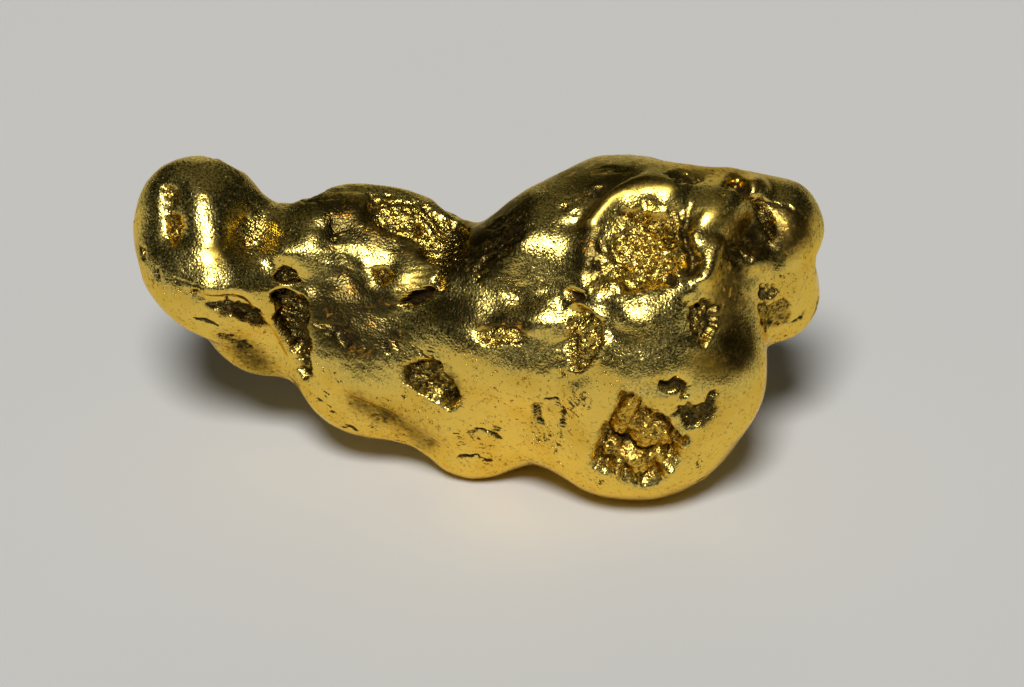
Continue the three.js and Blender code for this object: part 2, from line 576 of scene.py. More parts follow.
class Knob(Region):
    """The knob at the far left end, and the arm that carries it."""

    FORMS = (
        Swell((-15.1, 6.3), (1.7, 1.8), 0.2),
        Ridge(((-15.4, 8.4), (-15.4, 7.2), (-15.2, 5.4), (-14.8, 4.2)), 1.1, 0.2),
        Ridge(((-16.7, 8.4), (-17.1, 6.6), (-16.8, 4.6)), 0.6, -0.35),
        Swell((-13.1, 5.4), (1.7, 2.1), -0.5),
        Swell((-11.6, 4.6), (1.3, 0.9), 0.32),
        Step(((-16.6, 3.1), (-15.3, 2.5), (-13.6, 2.4), (-12.7, 1.6), (-11.8, 0.5), (-11.0, -1.2)), 0.5,
            sharp=0.14, run=1.1),
        Step(((-16.5, 1.7), (-15.3, 1.5), (-14.2, 1.1), (-13.2, 0.4), (-12.4, -0.1)), 0.45, sharp=0.3,
            run=0.9),
    )

    DETAILS = (
        Pit(((-12.0, 3.4), (-11.5, 3.9), (-11.0, 3.7), (-10.6, 3.1), (-11.1, 2.9), (-11.8, 3.0)), 0.55,
            wall=0.14, grains=0.1, grime=0.25, bounce_amber=0.6, painted_shade=1.2),
        Pit(((-11.9, 2.4), (-11.5, 2.7), (-11.0, 2.7), (-10.5, 2.2), (-10.3, 1.6), (-10.2, 0.7),
            (-10.1, -0.3), (-10.1, -1.6), (-10.5, -1.9), (-10.8, -1.2), (-11.2, -0.2), (-11.7, 0.7),
            (-12.0, 1.2), (-11.7, 1.6)), 0.8, wall=0.2, ragged=0.13, tilt=(-0.15, 0.12), grains=0.17,
            grime=0.3, bounce_amber=0.5, painted_shade=1.0),
        Pit(((-17.5, 7.9), (-17.0, 8.0), (-16.8, 7.4), (-17.2, 7.1)), 0.14, wall=0.4, grime=0.3, bounce_amber=0.8),
        Pit(((-17.5, 6.9), (-16.9, 6.7), (-16.4, 6.0), (-16.6, 5.2), (-17.0, 4.9), (-17.2, 5.8)), 0.2,
            wall=0.4, grains=0.16, grime=0.4, bounce_amber=0.9),
        Pit(((-13.5, 6.7), (-12.5, 6.8), (-11.9, 6.2), (-12.3, 4.9), (-13.2, 4.2), (-14.0, 4.8),
            (-13.9, 5.9)), 0.12, wall=0.7, grains=0.09, bounce_amber=0.15),
        Pit(oval((-18.45, 4.5), (0.16, 0.4), 12), 0.22, wall=0.12, grains=0.06, grime=0.9),
        Pit(oval((-17.7, 3.5), (0.1, 0.3), 15), 0.14, wall=0.1, grains=0.0, grime=0.9),
        Pit(((-15.8, 2.7), (-15.2, 2.3), (-13.9, 2.2), (-12.9, 1.6), (-12.4, 0.9), (-13.1, 0.9),
            (-14.2, 1.4), (-15.1, 1.8)), 0.16, wall=0.12, ragged=0.3, grains=0.1, grain=0.8, grime=0.5,
            painted_shade=0.9),
        Pit(oval((-13.5, 1.4), (0.42, 0.16), -25), 0.2, wall=0.12, ragged=0.12, grime=1.0),
        Pit(((-14.9, 0.6), (-13.8, 0.4), (-13.0, -0.2), (-13.6, -0.4), (-14.5, 0.0)), 0.12, wall=0.2,
            ragged=0.2, grains=0.1, grime=0.5, bounce_amber=0.9),
        Crack(((-16.0, 1.3), (-15.3, 1.1), (-14.6, 0.8)), width=0.06),
        Crack(((-17.0, 3.3), (-15.9, 2.9), (-15.2, 2.7)), width=0.05, depth=0.08),
        Swell((-14.8, 4.6), (1.0, 1.3), rub=0.9),
        Swell((-13.0, -0.7), (2.8, 1.1), turn=-38, bounce_amber=0.9, painted_shade=0.9),
    )


class MiddleLump(Region):
    """The lump between the arm and the saddle, and the smooth flank below it."""

    FORMS = (
        Swell((-7.3, -1.6), (3.6, 3.2), 0.3),
        Swell((-10.5, 4.6), (1.5, 1.8), 0.3),
        Ridge(((-9.3, 6.6), (-8.9, 5.2), (-8.4, 3.8), (-8.2, 2.0)), 0.8, -0.32, ragged=0.15, painted_shade=0.9),
        Ridge(((-8.1, 8.2), (-7.8, 6.7), (-7.1, 6.0), (-6.0, 5.5), (-5.1, 5.1), (-4.5, 4.8)), 0.55, 0.16,
            painted_shade=0.85, rub=0.6),
        Ridge(((-5.5, 4.9), (-4.6, 4.3), (-3.8, 3.8)), 0.35, 0.16, painted_shade=0.85, rub=0.6),
        Ridge(((-8.9, 6.8), (-7.9, 5.9), (-6.9, 5.3), (-5.8, 4.9), (-4.9, 4.4)), 0.55, grain=0.3,
            painted_shade=1.3),
        Swell((-6.5, 2.0), (1.6, 1.0), painted_shade=1.4),
        Swell((-6.3, 0.5), (1.7, 1.2), painted_shade=1.4),
        Swell((-6.9, 6.5), (3.0, 3.2), -0.7),
        Swell((-4.4, 5.5), (3.2, 2.0), -0.4, turn=-30),
        Swell((-8.3, 6.3), (1.7, 1.3), turn=-20, power=1.0, grain=0.4, painted_shade=1.6),
        Swell((-8.5, 6.6), (2.2, 2.0), -0.28, turn=-20),
        Swell((-5.0, 3.2), (1.5, 0.8), turn=26, rub=0.8),
        Swell((-7.5, 0.4), (2.4, 1.5), power=1.0, grime=0.2, painted_shade=1.5),
        Swell((-5.35, 3.05), (2.3, 1.7), 0.45, turn=26),
        Ridge(((-6.9, 2.6), (-6.3, 3.5), (-5.6, 4.3)), 0.35, -0.16),
        Ridge(((-10.6, 3.2), (-10.0, 1.8), (-9.8, 0.2), (-9.8, -2.0)), 0.4, 0.25),
        Step(((-9.0, -1.9), (-7.4, -2.7), (-5.9, -3.4), (-4.7, -4.1), (-3.7, -4.9), (-2.9, -5.7)), 0.45,
            sharp=0.2, run=1.2, bounce_amber=1.0, painted_shade=0.2),
        Ridge(((-6.0, -3.6), (-4.9, -4.3), (-4.0, -5.1)), 0.4, 0.15),
        Ridge(((-8.8, -2.2), (-7.2, -3.2), (-5.7, -3.9), (-4.4, -4.8), (-3.4, -5.7)), 0.55, bounce_amber=1.0,
            painted_shade=0.72),
    )

    DETAILS = (
        Pit(((-7.2, 7.1), (-6.3, 7.5), (-5.6, 7.3), (-4.6, 7.2), (-3.7, 6.6), (-2.3, 5.8), (-2.2, 5.4),
            (-2.6, 4.4), (-3.1, 3.8), (-3.4, 3.1), (-3.4, 2.6), (-3.8, 3.1), (-3.7, 3.8), (-4.5, 4.4),
            (-4.5, 4.8), (-5.4, 5.4), (-6.3, 5.7), (-7.2, 6.3)), 0.5, wall=0.22, ragged=0.06,
            tilt=(0.0, -0.3), grains=0.1, bounce_amber=0.22),
        Pit(oval((-6.9, 7.05), (0.4, 0.45)), 0.3, wall=0.2, grains=0.14, grime=0.6, bounce_amber=1.0),
        Pit(oval((-4.7, 5.9), (0.22, 0.3)), 0.3, wall=0.2, grains=0.05, bounce_amber=1.0),
        Pit(((-7.1, 3.7), (-6.4, 3.9), (-5.9, 3.6), (-6.1, 3.1), (-6.7, 3.0)), 0.22, wall=0.25, grains=0.13,
            grime=0.3, bounce_amber=0.7),
        Pit(oval((-4.75, 2.35), (0.85, 0.32), 26), 0.8, wall=0.12, grains=0.03, grain=0.1, grime=0.7,
            bounce_amber=1.0, painted_shade=1.4),
        Swell((-2.95, -1.9), (0.5, 1.2), 0.08, turn=28, bounce_amber=0.5, painted_shade=0.8, rub=1.0),
        Pit(((-9.7, 1.0), (-9.0, 1.3), (-8.2, 1.0), (-7.8, 0.3), (-8.3, 0.0), (-9.1, 0.4)), 0.12, wall=0.25,
            ragged=0.25, grains=0.08, grime=0.7, bounce_amber=0.4),
        Pit(((-9.2, 6.6), (-8.8, 6.4), (-8.6, 5.6), (-8.9, 5.1), (-9.2, 5.7)), 0.1, wall=0.25, ragged=0.15,
            grain=0.8, grime=0.2, bounce_amber=0.9),
        Pit(((-11.0, 7.0), (-9.9, 7.5), (-8.5, 7.5), (-8.6, 7.1), (-10.0, 7.0)), 0.1, wall=0.25, ragged=0.2,
            grain=0.7, grime=0.4, bounce_amber=0.5),
        Pit(((-5.7, -0.9), (-5.2, -1.0), (-4.6, -0.8), (-4.0, -0.8), (-3.5, -1.1), (-3.1, -1.6),
            (-2.8, -2.2), (-2.6, -2.7), (-2.8, -3.1), (-3.1, -3.4), (-3.7, -3.1), (-4.3, -2.7),
            (-4.9, -2.3), (-5.4, -1.8)), 0.75, wall=0.22, lip=0.04, ragged=0.13, tilt=(0.25, -0.1),
            grains=0.2, grime=0.3, bounce_amber=0.7, painted_shade=0.5),
        Crack(((-6.4, 0.1), (-6.2, -0.3), (-6.3, -0.5))),
        Crack(((-5.9, 0.2), (-5.8, -0.1), (-5.7, -0.4)), width=0.05),
        Crack(((-4.9, 0.0), (-4.6, -0.4), (-4.1, -0.8)), width=0.05),
        Crack(((-4.0, -0.2), (-4.0, -0.5), (-3.9, -0.9)), width=0.05),
        Crack(((-2.2, -4.5), (-1.8, -4.35), (-1.3, -4.4), (-0.9, -4.5), (-0.6, -4.8)), width=0.075,
            depth=0.3, wander=0.08),
        Crack(((-2.8, -5.75), (-2.2, -5.6), (-1.7, -5.65), (-1.3, -5.85), (-0.8, -5.9)), width=0.055,
            wander=0.08),
        Crack(((-3.1, -4.2), (-2.6, -4.6), (-2.5, -5.0), (-2.9, -5.3)), width=0.035, depth=0.06,
            wander=0.12),
        Crack(((-1.0, -4.0), (-0.8, -4.2), (-0.8, -4.4)), width=0.05),
        Crack(((-8.6, -4.2), (-8.1, -4.2), (-7.7, -4.5)), width=0.055, wander=0.08),
        Crack(((-9.8, -2.4), (-9.4, -2.5), (-9.4, -2.9), (-9.8, -2.9)), width=0.04, depth=0.06, wander=0.1),
        Crack(((-9.2, -3.1), (-8.9, -3.3), (-9.0, -3.6)), width=0.04, depth=0.06, wander=0.1),
        Pit(((-7.4, -3.5), (-6.8, -3.5), (-6.3, -3.9), (-6.8, -4.1), (-7.3, -3.9)), 0.08, wall=0.2,
            ragged=0.15, grains=0.07, grain=0.5, bounce_amber=0.5),
        Swell((-8.0, -0.6), (1.4, 0.7), grime=0.3),
        Swell((-7.5, 1.6), (1.7, 1.3), grime=0.35),
    )


class Boulder(Region):
    """The heavy end: its crowns, its crater, its cheeks and the valley on its right."""

    FORMS = (
        Swell((6.5, -2.3), (5.5, 3.2), 0.36),
        Swell((1.2, -1.9), (2.6, 2.4), 0.42),
        Swell((3.5, -2.6), (1.2, 1.2), 0.22),
        Swell((6.5, 5.0), (2.9, 2.6), -0.6),
        Swell((6.5, 3.0), (2.7, 2.3), -0.25),
        Swell((6.3, 1.4), (1.9, 1.7), 0.2),
        Ridge(((3.6, 5.6), (4.05, 6.4), (4.9, 7.25), (5.8, 7.8), (6.7, 8.0), (7.6, 7.8), (8.7, 7.6)), 0.5,
            0.42, taper=0.12, rub=1.0),
        Swell((10.75, 6.95), (1.75, 1.65), 0.68, power=1.3),
        Swell((9.95, 6.5), (1.8, 1.6), rub=0.75),
        Ridge(((10.5, 5.4), (10.0, 4.3), (9.8, 3.5), (9.2, 2.7)), 0.55, 0.42),
        Ridge(((8.8, 2.6), (9.0, 1.4), (8.9, -0.2)), 0.5, -0.2),
        Ridge(((4.5, 2.4), (4.9, 1.2), (4.9, 0.0)), 0.4, -0.18),
        Swell((-0.2, 4.7), (3.2, 2.4), 0.75, turn=12),
        Swell((1.2, 4.7), (1.9, 0.9), grain=0.25),
        Swell((-1.0, 5.2), (1.7, 2.8), -0.4, turn=-35),
        Ridge(((-0.4, 2.0), (0.8, 2.45), (2.0, 2.75), (3.1, 2.6)), 0.6, -0.26),
        Step(((3.4, 1.2), (2.2, 1.35), (1.0, 1.4), (-0.6, 1.3), (-1.8, 1.0)), 0.38, sharp=0.5, run=1.5),
        Ridge(((2.5, 2.6), (2.5, 1.2), (2.7, -0.6)), 0.4, -0.22),
        Ridge(((13.2, 6.9), (12.0, 5.2), (11.4, 2.2), (11.2, -1.0)), 1.2, -0.4),
        Ridge(((11.8, 6.9), (11.1, 4.8), (10.9, 2.4), (11.0, 0.4), (11.3, -1.9)), 1.0, taper=0.15,
            ragged=0.25, bounce_amber=0.9, painted_shade=1.0, rub=0.5),
        Swell((13.1, 5.4), (2.8, 1.8), turn=24, power=1.0, bounce_amber=0.8, painted_shade=1.1),
        Ridge(((4.1, 6.1), (3.8, 4.6), (3.7, 3.2)), 0.7, bounce_amber=0.5, painted_shade=1.5),
        Ridge(((-1.7, 0.75), (-0.8, 1.1), (0.4, 0.95), (1.3, 0.7)), 0.3, grime=0.2, painted_shade=1.4),
        Swell((12.3, 4.2), (0.9, 1.0), 0.3),
        Ridge(((2.3, 5.9), (3.4, 6.2), (4.6, 7.6), (5.9, 8.4), (6.9, 9.0)), 0.35, -0.4, painted_shade=0.5),
        Swell((12.2, 7.7), (1.1, 0.8), 0.5, turn=-20),
        Ridge(((11.4, 8.4), (11.2, 7.8), (11.6, 7.1)), 0.35, -0.4),
        Swell((14.2, 5.6), (1.5, 1.9), 0.12, bounce_amber=0.3, rub=1.0),
        Swell((13.8, 2.6), (2.0, 2.3), 0.2),
        Step(((16.0, 5.2), (14.4, 4.9), (13.2, 4.5), (12.0, 3.9)), 0.4, sharp=0.9, run=1.6),
        Swell((10.4, 8.7), (4.8, 1.3), turn=-12, painted_shade=0.5, rub=1.0),
        *seen_from(Side.TOP,
            Swell((10.6, 3.6), (2.6, 2.8), -0.45),
        ),
        Swell((10.2, -0.9), (2.4, 1.3), bounce_amber=0.8, painted_shade=0.3, rub=1.0),
        Swell((-1.2, 5.2), (3.6, 2.0), turn=48, power=1.0, painted_shade=1.5),
        Swell((-2.6, 1.7), (2.6, 1.5), painted_shade=1.2),
        Swell((4.6, 8.4), (4.6, 1.2), power=1.0, painted_shade=1.2),
        Swell((-8.3, 1.6), (2.9, 2.6), power=1.2, painted_shade=1.5),
        Swell((-9.4, 7.0), (2.6, 1.3), painted_shade=0.9),
    )

    DETAILS = (
        Pit(((4.0, 5.0), (4.3, 6.1), (5.1, 6.95), (6.1, 7.45), (7.2, 7.45), (8.5, 7.2), (9.0, 6.2),
            (8.9, 4.8), (9.0, 3.9), (8.4, 2.9), (7.4, 2.6), (6.2, 2.5), (4.8, 2.5), (3.6, 3.0), (3.7, 4.1)),
            0.32, wall=1.2, ragged=0.15, grains=0.0, grain=0.3, bounce_amber=0.32, rub=0.5),
        Pit(((4.9, 4.9), (5.3, 5.8), (6.0, 6.7), (7.2, 6.9), (8.3, 6.5), (8.3, 5.0), (8.2, 3.9), (7.6, 3.0),
            (6.0, 2.8), (4.4, 3.2), (4.5, 4.0)), 0.08, wall=0.5, ragged=0.5, grains=0.12, grain=0.9),
        Pit(oval((6.8, 4.8), (1.2, 1.4), 30), 0.08, wall=0.3, ragged=0.6, grains=0.12, grime=0.12),
        Pit(((5.6, 6.6), (6.8, 6.8), (7.9, 6.4), (8.3, 5.2), (7.9, 4.4), (7.5, 5.2), (6.8, 5.9)), 0.22,
            wall=0.25, ragged=0.15, grains=0.12, grime=0.2, painted_shade=0.35),
        Ridge(((8.7, 7.2), (8.9, 6.4), (8.75, 5.5), (9.1, 4.1), (8.5, 3.0)), 0.35, -0.5, ragged=0.12,
            grime=0.35, bounce_amber=0.9, painted_shade=1.0),
        Ridge(((8.3, 5.3), (8.5, 4.5), (8.4, 3.9), (8.0, 3.3)), 0.12, 0.2, grain=0.4),
        Swell((5.6, 3.1), (2.0, 0.8), turn=-8, grain=0.6, bounce_amber=0.6),
        Pit(oval((8.0, 3.3), (0.35, 0.5), 30), 0.25, wall=0.15, grains=0.12, grime=0.8),
        Pit(oval((4.3, 3.2), (0.8, 1.1), 30), 0.1, wall=0.4, grains=0.03, grain=0.15, bounce_amber=0.8),
        Crack(((4.8, 5.2), (5.0, 4.8), (5.1, 4.5)), width=0.06),
        Crack(((4.0, 4.2), (4.3, 3.7), (4.6, 3.4)), width=0.06, wander=0.08),
        Pit(((2.8, 1.7), (3.3, 1.95), (4.0, 1.55), (4.5, 0.95), (4.6, 0.15), (4.3, -0.5), (4.0, -1.1),
            (3.6, -1.4), (3.1, -1.4), (2.85, -0.9), (2.75, 0.2)), 0.42, wall=0.2, lip=0.03, ragged=0.05,
            tilt=(0.1, 0.12), grains=0.11, grime=0.25, bounce_amber=0.45),
        Ridge(((3.7, -1.3), (4.25, -0.6), (4.6, 0.2), (4.5, 0.9)), 0.12, 0.1),
        Pit(((2.8, 2.6), (3.3, 2.6), (3.5, 2.3), (3.2, 2.1), (2.9, 2.2)), 0.5, wall=0.12, grains=0.05,
            grime=0.8, bounce_amber=0.8),
        Pit(((8.6, 2.0), (9.3, 2.3), (10.0, 2.1), (10.3, 1.6), (10.3, 0.6), (9.9, 0.1), (9.6, -0.3),
            (9.2, 0.2), (8.8, 1.0)), 0.45, wall=0.25, ragged=0.2, grains=0.11, grime=0.4, bounce_amber=0.9,
            painted_shade=0.5),
        Pit(oval((9.4, 1.9), (0.4, 0.25), -20), 0.35, wall=0.14, grime=0.8, bounce_amber=0.8),
        Pit(((-1.9, 0.7), (-0.9, 1.0), (0.3, 0.8), (0.8, 0.3), (0.2, -0.1), (-0.9, -0.1), (-1.7, 0.2)),
            0.26, wall=0.25, ragged=0.12, tilt=(0.0, 0.7), grains=0.08, bounce_amber=0.6),
        Pit(((7.7, 8.5), (8.3, 8.8), (8.9, 8.6), (9.6, 8.2), (9.0, 7.9), (8.2, 8.2)), 0.25, wall=0.14,
            ragged=0.12, grime=0.6, bounce_amber=0.5),
        Pit(oval((10.5, 7.5), (0.3, 0.15), -20), 0.1, wall=0.12, ragged=0.08, grime=0.4, bounce_amber=0.5),
        Pit(((10.7, 8.1), (11.3, 8.1), (11.8, 7.6), (11.6, 7.4), (11.1, 7.6), (10.6, 7.8)), 0.4, wall=0.15,
            ragged=0.1, grime=0.7, bounce_amber=1.0),
        Pit(((11.9, 7.6), (12.4, 7.2), (13.0, 6.6), (13.2, 5.6), (13.1, 4.9), (12.7, 5.0), (12.4, 5.8),
            (12.0, 6.6)), 0.15, wall=0.25, ragged=0.2, grains=0.12, grime=0.3, bounce_amber=0.8),
        Pit(oval((12.9, 5.6), (0.25, 0.55), 12), 0.15, wall=0.14, grains=0.16, bounce_amber=1.0),
        Pit(oval((11.3, 4.6), (0.9, 0.8)), 0.08, wall=0.4, ragged=0.2, grain=0.3, grime=0.3, bounce_amber=0.8),
        Crack(((12.1, 7.15), (13.1, 7.0), (14.0, 6.8), (14.6, 6.4)), width=0.06, wander=0.07),
        Pit(((12.4, 3.0), (13.1, 3.1), (13.4, 2.5), (12.9, 2.1), (12.4, 2.3)), 0.14, wall=0.2, ragged=0.12,
            grain=0.5, grime=0.5, bounce_amber=0.2),
        Pit(oval((12.55, 2.5), (0.25, 0.2)), 0.28, wall=0.12, grains=0.0, grime=1.0),
        Pit(((12.3, 2.0), (13.4, 2.3), (14.1, 1.6), (13.6, 0.8), (12.6, 0.8)), 0.16, wall=0.25, ragged=0.2,
            grains=0.06, grain=0.2, grime=0.35, bounce_amber=0.9, painted_shade=0.55),
        Crack(((14.6, 1.6), (14.4, 1.2), (14.0, 0.9)), width=0.05, wander=0.1),
        Crack(((13.7, 0.2), (14.2, 0.0), (14.7, -0.2)), width=0.06),
        Pit(((4.2, 8.9), (5.4, 8.9), (6.0, 8.6), (5.2, 8.5), (4.3, 8.5)), 0.08, wall=0.25, ragged=0.1,
            grain=0.6, bounce_amber=0.3),
        Pit(((-2.4, 3.6), (-1.4, 5.2), (-0.4, 6.3), (0.8, 7.2), (0.9, 6.2), (0.1, 4.9), (-0.9, 3.9),
            (-1.6, 3.1)), 0.12, wall=0.5, ragged=0.35, grains=0.14, grain=0.8, grime=0.45, bounce_amber=0.8),
        Pit(((2.2, 6.8), (3.2, 7.6), (4.2, 7.9), (4.5, 7.5), (3.6, 6.9), (2.7, 6.5)), 0.12, wall=0.25,
            ragged=0.25, grains=0.13, grain=0.8, grime=0.6, bounce_amber=0.5),
        Swell((0.9, 2.6), (2.2, 1.0), grime=0.3),
    )


class Belly(Region):
    """The boulder's smooth underside, with the deep pit in its front."""

    FORMS = (
        Swell((6.6, -4.6), (3.2, 3.0), -0.12),
        Ridge(((5.6, -2.3), (6.4, -2.6), (7.4, -2.7), (8.2, -2.5), (9.0, -2.2)), 0.4, 0.2),
    )

    DETAILS = (
        Pit(((5.4, -2.3), (5.1, -3.2), (4.6, -4.0), (4.1, -5.2), (4.0, -6.1), (4.6, -6.5), (5.2, -6.4),
            (5.7, -6.9), (6.4, -7.2), (7.2, -7.1), (7.8, -6.5), (8.3, -5.9), (8.6, -5.2), (9.0, -4.8),
            (8.4, -4.4), (8.0, -3.9), (7.2, -3.4), (6.6, -3.1), (6.1, -2.6)), 1.1, wall=0.16, lip=0.03,
            ragged=0.08, tilt=(-0.02, 0.07), grains=0.2, grain=0.45, grime=0.2, bounce_amber=1.0),
        Swell((5.6, -3.9), (0.9, 1.5), 0.6, turn=-25, power=0.8),
        Swell((6.9, -4.9), (1.1, 1.0), 0.75, power=0.9),
        Swell((4.7, -5.8), (0.8, 0.7), 0.45, power=0.9),
        Swell((6.1, -6.4), (1.2, 0.75), 0.6, turn=-12, power=0.9),
        Swell((8.0, -4.8), (0.7, 0.9), 0.5, turn=20, power=0.9),
        Swell((7.6, -6.2), (0.6, 0.5), 0.4, power=0.9),
        Swell((7.2, -3.8), (0.9, 0.35), 0.35, turn=-20),
        Ridge(((4.4, -5.1), (5.4, -5.3), (6.1, -5.7), (6.8, -5.9), (7.6, -5.5)), 0.16, -0.3, ragged=0.1,
            grime=0.7),
        Ridge(((6.0, -2.8), (6.7, -3.4), (7.4, -3.7), (8.0, -4.1)), 0.12, -0.3, grime=1.0),
        Ridge(((6.1, -3.0), (6.8, -3.6), (7.5, -3.9), (8.0, -4.2)), 0.08, 0.12, grain=1.0),
        Pit(((8.1, -3.6), (8.8, -2.9), (9.5, -3.0), (10.0, -2.3), (10.3, -2.6), (10.2, -3.6), (9.7, -4.3),
            (8.8, -4.3)), 0.3, wall=0.2, ragged=0.2, grains=0.17, grime=0.35, bounce_amber=0.3, painted_shade=1.0),
        Ridge(((7.3, -2.05), (7.8, -2.1), (8.4, -2.0), (8.65, -2.3), (8.6, -2.8)), 0.17, -0.5, taper=0.1,
            ragged=0.12, grime=1.0),
        Pit(((1.1, -3.1), (1.4, -2.9), (1.35, -3.5), (1.6, -4.0), (1.3, -4.1), (1.15, -3.6)), 0.4, wall=0.1,
            ragged=0.08, grains=0.0, grime=1.0),
        Crack(((1.6, -2.8), (2.2, -2.8), (2.5, -3.2), (2.5, -3.7), (2.3, -4.0)), width=0.06, wander=0.12),
        Swell((2.0, -3.4), (0.5, 0.5), 0.06, grain=0.4),
        Crack(((2.5, -4.0), (2.4, -4.8), (2.1, -5.6)), width=0.03, depth=0.05),
        Swell((3.3, -2.9), (1.3, 1.0), turn=35, grime=0.5),
        Swell((1.6, -4.8), (1.1, 0.9), grime=0.4),
        Swell((9.3, -6.0), (0.3, 0.7), grime=0.55),
        Swell((10.6, -0.9), (1.6, 0.9), turn=20, grime=0.35, bounce_amber=0.5),
        Swell((4.4, -6.9), (0.5, 0.5), grime=0.5),
    )


class Back(Region):
    """The side away from the pitted front."""

    FORMS = (
        *seen_from(Side.BACK,
            Swell((-9.0, 2.5), (3.0, 2.6), -0.7),
            Ridge(((-12.6, 2.8), (-11.6, 4.2), (-9.6, 4.9), (-7.2, 4.6), (-5.8, 3.6)), 0.5, 0.3, rub=1.0),
            Swell((-5.6, 0.2), (1.7, 1.5), 0.4),
            Swell((-12.0, -1.0), (1.5, 2.0), 0.35),
            Ridge(((-3.4, 4.0), (-2.6, 2.0), (-2.6, -0.5), (-3.4, -3.0)), 0.45, -0.4, painted_shade=0.8),
            Ridge(((-13.8, 1.0), (-11.6, 0.2), (-9.6, -0.6), (-7.8, -0.4)), 0.35, -0.3),
            Swell((3.2, 1.6), (1.8, 1.6), 0.4),
            Swell((6.6, 2.4), (1.9, 1.5), 0.35),
            Ridge(((1.0, 4.2), (2.4, 3.0), (4.6, 2.9), (6.4, 4.0)), 0.4, -0.35, painted_shade=0.7),
            Swell((9.9, 1.9), (1.3, 1.5), -0.3),
            Ridge(((12.2, 5.6), (12.9, 3.9), (12.6, 2.0)), 0.5, -0.28),
            Step(((-1.0, -4.2), (1.2, -3.4), (3.6, -3.0), (6.0, -2.6)), 0.4, sharp=0.25, run=1.1),
        ),
    )

    DETAILS = (
        *seen_from(Side.BACK,
            Pit(((-10.6, 3.6), (-9.4, 4.3), (-8.0, 3.9), (-7.4, 2.8), (-7.8, 1.5), (-9.2, 0.9), (-10.4, 1.6),
                (-10.9, 2.6)), 0.35, wall=0.4, ragged=0.2, grains=0.11, bounce_amber=0.4, painted_shade=0.4),
            Pit(((-6.2, -1.9), (-5.2, -1.6), (-4.4, -2.5), (-4.6, -3.7), (-5.7, -4.1), (-6.5, -3.1)), 0.6,
                wall=0.2, grains=0.15, bounce_amber=0.6, painted_shade=0.6),
            Pit(oval((-12.6, -2.4), (0.5, 0.9), 20), 0.35, wall=0.16, painted_shade=0.9),
            Pit(((3.2, -0.4), (4.4, 0.1), (5.4, -0.5), (5.2, -1.4), (4.0, -1.7), (3.1, -1.2)), 0.45, wall=0.2,
                grains=0.14, bounce_amber=0.4, painted_shade=0.7),
            Pit(oval((8.1, 4.3), (0.7, 0.4), -15), 0.3, wall=0.15, bounce_amber=0.5, painted_shade=0.9),
            Pit(oval((13.7, 4.8), (0.5, 0.8), 10), 0.25, wall=0.2, grains=0.12, bounce_amber=0.8),
            Pit(((-1.6, 2.4), (-0.6, 3.4), (0.4, 3.2), (0.2, 2.2), (-0.8, 1.6)), 0.2, wall=0.35, ragged=0.2,
                grains=0.1, bounce_amber=0.4),
            Crack(((-9.6, -3.2), (-8.9, -3.7), (-8.4, -3.5), (-7.8, -4.0)), depth=0.25, wander=0.1),
            Crack(((0.8, -1.2), (1.2, -1.9), (1.0, -2.5)), width=0.055, wander=0.1),
            Crack(((10.6, 0.2), (11.3, 0.5), (12.0, 0.2)), width=0.055, wander=0.1),
        ),
    )


class Ends(Region):
    """The boulder's right end and the knob's left end."""

    FORMS = (
        *seen_from(Side.RIGHT,
            Ridge(((-3.6, 2.7), (-1.2, 3.1), (1.2, 3.4), (3.8, 4.2)), 0.6, -0.4),
            Swell((1.0, 5.3), (2.4, 1.6), 0.2),
            Swell((1.5, 0.6), (2.6, 2.0), 0.25),
            Ridge(((2.2, -0.6), (3.4, -2.4), (3.6, -4.6)), 0.5, -0.35, painted_shade=0.5),
            Swell((-1.2, -3.6), (2.2, 2.0), -0.3),
        ),
        *seen_from(Side.LEFT,
            Ridge(((-6.4, 4.2), (-4.6, 3.0), (-2.6, 2.8), (-1.0, 3.4)), 0.45, -0.25),
            Swell((-4.6, 5.4), (1.4, 1.2), -0.25),
        ),
    )

    DETAILS = (
        *seen_from(Side.RIGHT,
            Pit(oval((0.6, 0.9), (0.9, 0.55), 25), 0.35, wall=0.2, bounce_amber=0.5, painted_shade=0.9),
            Pit(oval((2.6, 2.0), (0.5, 0.9), -20), 0.25, wall=0.2, grains=0.12, bounce_amber=0.7),
            Pit(oval((-1.0, -3.4), (1.0, 0.8), 40), 0.2, wall=0.3, ragged=0.2, bounce_amber=0.4),
            Crack(((-2.2, 3.0), (-0.8, 3.2), (0.4, 3.3), (1.6, 3.6)), width=0.06, wander=0.06),
            Crack(((1.0, -1.6), (1.8, -2.2), (2.0, -3.0)), width=0.06, wander=0.1),
        ),
        *seen_from(Side.LEFT,
            Pit(oval((-4.9, 1.5), (0.9, 0.45), -15), 0.3, wall=0.16, bounce_amber=0.4, painted_shade=0.9),
            Pit(oval((-5.4, 4.9), (0.5, 0.7), 30), 0.2, wall=0.2, grains=0.1, bounce_amber=0.8),
            Crack(((-3.6, 0.4), (-4.4, 0.1), (-5.2, 0.4)), width=0.06, wander=0.1),
        ),
    )


NICKS_TO, CRACKS_TO = 0.4, 0.75  # draws below these give a nick or a crack, and the rest give a stain


